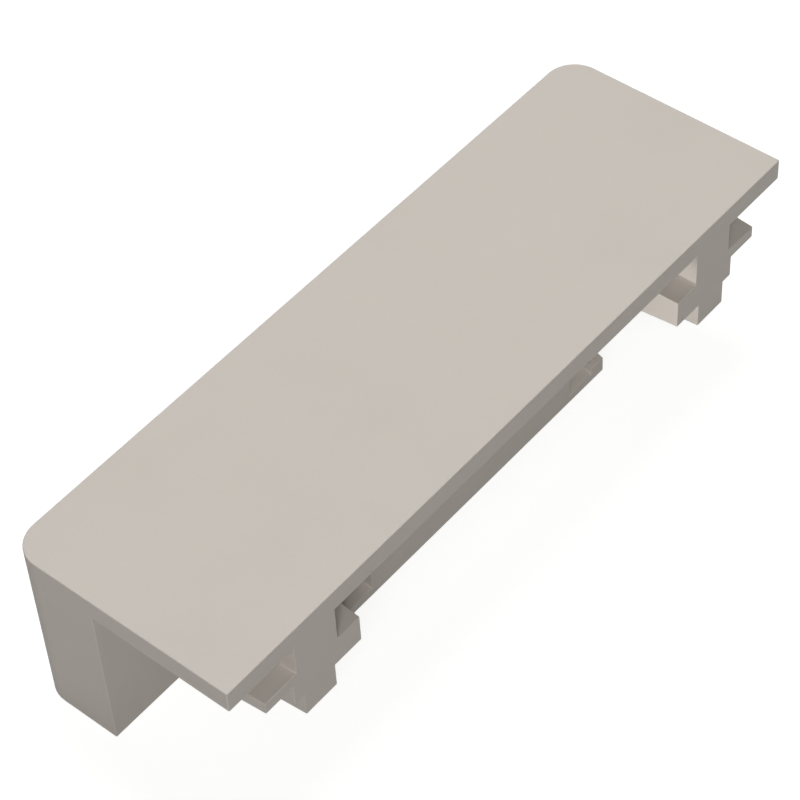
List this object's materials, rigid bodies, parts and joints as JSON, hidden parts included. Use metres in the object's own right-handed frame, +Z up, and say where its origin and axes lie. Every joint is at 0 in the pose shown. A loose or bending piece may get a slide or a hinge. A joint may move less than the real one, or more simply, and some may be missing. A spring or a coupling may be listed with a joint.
{
  "type": "profile end cap",
  "caption": "Moulded end cap for a wide profile: flat rounded face plate, deep wall along one edge, snap latches and a central rib beneath.",
  "frame": {"origin": "middle of the cap's outline, at the lower edge of the deep wall", "axes": "+X along the cap, +Y across it towards the deep wall with the rounded corners, +Z up out of the face plate"},
  "size_m": [0.1, 0.032, 0.025],
  "materials": {
    "moulded_abs": "fine matt moulded surface"
  },
  "bodies": {
    "root": {"end_cap": "moulded_abs"}
  },
  "joints": []
}
